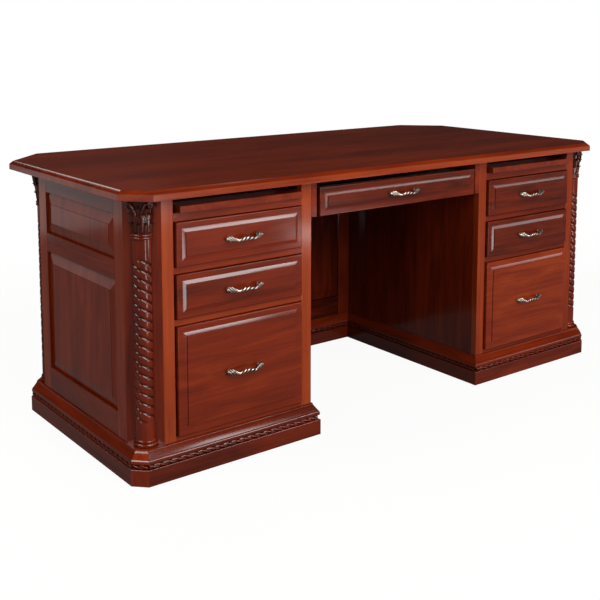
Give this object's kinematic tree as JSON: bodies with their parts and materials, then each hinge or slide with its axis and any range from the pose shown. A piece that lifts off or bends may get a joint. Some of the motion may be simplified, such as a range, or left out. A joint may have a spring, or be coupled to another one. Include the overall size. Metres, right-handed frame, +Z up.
{
  "type": "executive desk",
  "caption": "Executive desk of stained cherry: drawer pedestals, lap drawer, pull-out writing boards, raised panels, rope-twist corner columns and a top with clipped corners.",
  "frame": {"origin": "on the floor, under the middle of the top's bounding box", "axes": "+X along the desk to the sitter's right, -Y towards the sitter, +Z up"},
  "size_m": [1.842, 0.902, 0.758],
  "materials": {
    "stained_cherry": "semi-gloss lacquer over red-brown stain",
    "drawer_maple": "clear satin lacquer",
    "secondary_poplar": "unfinished, planed",
    "antique_brass": "cast, antiqued, dark in the hollows",
    "zinc_steel": "bright zinc plate"
  },
  "bodies": {
    "desk": {"desk_top": "stained_cherry", "top_stretchers": "secondary_poplar", "top_screws": "zinc_steel", "left_end_frame": "stained_cherry", "left_end_panels": "stained_cherry", "left_back_frame": "stained_cherry", "left_back_panels": "stained_cherry", "left_face_frame": "stained_cherry", "left_inner_side": "stained_cherry", "right_end_frame": "stained_cherry", "right_end_panels": "stained_cherry", "right_back_frame": "stained_cherry", "right_back_panels": "stained_cherry", "right_face_frame": "stained_cherry", "right_inner_side": "stained_cherry", "modesty_frame": "stained_cherry", "modesty_panels": "stained_cherry", "corner_posts": "stained_cherry", "twisted_columns": "stained_cherry", "column_capitals": "stained_cherry", "base_plinth": "stained_cherry", "rope_trim": "stained_cherry", "base_moulding": "stained_cherry", "base_decks": "stained_cherry", "slide_channels": "zinc_steel", "slide_blocks": "secondary_poplar", "lap_drawer_hangers": "stained_cherry", "writing_board_guides": "secondary_poplar"},
    "left_top_drawer": {"left_top_drawer_front": "stained_cherry", "left_top_drawer_box": "drawer_maple", "left_top_drawer_pull": "antique_brass", "left_top_drawer_slides": "zinc_steel"},
    "left_second_drawer": {"left_second_drawer_front": "stained_cherry", "left_second_drawer_box": "drawer_maple", "left_second_drawer_pull": "antique_brass", "left_second_drawer_slides": "zinc_steel"},
    "left_file_drawer": {"left_file_drawer_front": "stained_cherry", "left_file_drawer_box": "drawer_maple", "left_file_drawer_pull": "antique_brass", "left_file_drawer_slides": "zinc_steel"},
    "left_file_drawer_middle": {"left_file_drawer_middle_slides": "zinc_steel"},
    "right_top_drawer": {"right_top_drawer_front": "stained_cherry", "right_top_drawer_box": "drawer_maple", "right_top_drawer_pull": "antique_brass", "right_top_drawer_slides": "zinc_steel"},
    "right_second_drawer": {"right_second_drawer_front": "stained_cherry", "right_second_drawer_box": "drawer_maple", "right_second_drawer_pull": "antique_brass", "right_second_drawer_slides": "zinc_steel"},
    "right_file_drawer": {"right_file_drawer_front": "stained_cherry", "right_file_drawer_box": "drawer_maple", "right_file_drawer_pull": "antique_brass", "right_file_drawer_slides": "zinc_steel"},
    "right_file_drawer_middle": {"right_file_drawer_middle_slides": "zinc_steel"},
    "lap_drawer": {"lap_drawer_front": "stained_cherry", "lap_drawer_box": "drawer_maple", "lap_drawer_pull": "antique_brass", "lap_drawer_slides": "zinc_steel"},
    "left_writing_board": {"left_writing_board": "stained_cherry"},
    "right_writing_board": {"right_writing_board": "stained_cherry"}
  },
  "joints": [
    {"name": "left_top_drawer_slide", "type": "slide", "parent": "desk", "child": "left_top_drawer", "axis": [0, -1, 0], "range_m": [0, 0.4]},
    {"name": "left_second_drawer_slide", "type": "slide", "parent": "desk", "child": "left_second_drawer", "axis": [0, -1, 0], "range_m": [0, 0.4]},
    {"name": "left_file_drawer_slide", "type": "slide", "parent": "desk", "child": "left_file_drawer", "axis": [0, -1, 0], "range_m": [0, 0.5]},
    {"name": "left_file_drawer_middle_slide", "type": "slide", "parent": "desk", "child": "left_file_drawer_middle", "axis": [0, -1, 0], "range_m": [0, 0.25]},
    {"name": "right_top_drawer_slide", "type": "slide", "parent": "desk", "child": "right_top_drawer", "axis": [0, -1, 0], "range_m": [0, 0.4]},
    {"name": "right_second_drawer_slide", "type": "slide", "parent": "desk", "child": "right_second_drawer", "axis": [0, -1, 0], "range_m": [0, 0.4]},
    {"name": "right_file_drawer_slide", "type": "slide", "parent": "desk", "child": "right_file_drawer", "axis": [0, -1, 0], "range_m": [0, 0.5]},
    {"name": "right_file_drawer_middle_slide", "type": "slide", "parent": "desk", "child": "right_file_drawer_middle", "axis": [0, -1, 0], "range_m": [0, 0.25]},
    {"name": "lap_drawer_slide", "type": "slide", "parent": "desk", "child": "lap_drawer", "axis": [0, -1, 0], "range_m": [0, 0.32]},
    {"name": "left_writing_board_slide", "type": "slide", "parent": "desk", "child": "left_writing_board", "axis": [0, -1, 0], "range_m": [0, 0.38]},
    {"name": "right_writing_board_slide", "type": "slide", "parent": "desk", "child": "right_writing_board", "axis": [0, -1, 0], "range_m": [0, 0.38]}
  ],
  "couplings": [
    {"joint": "left_file_drawer_middle_slide", "follows": "left_file_drawer_slide", "ratio": 0.5},
    {"joint": "right_file_drawer_middle_slide", "follows": "right_file_drawer_slide", "ratio": 0.5}
  ]
}
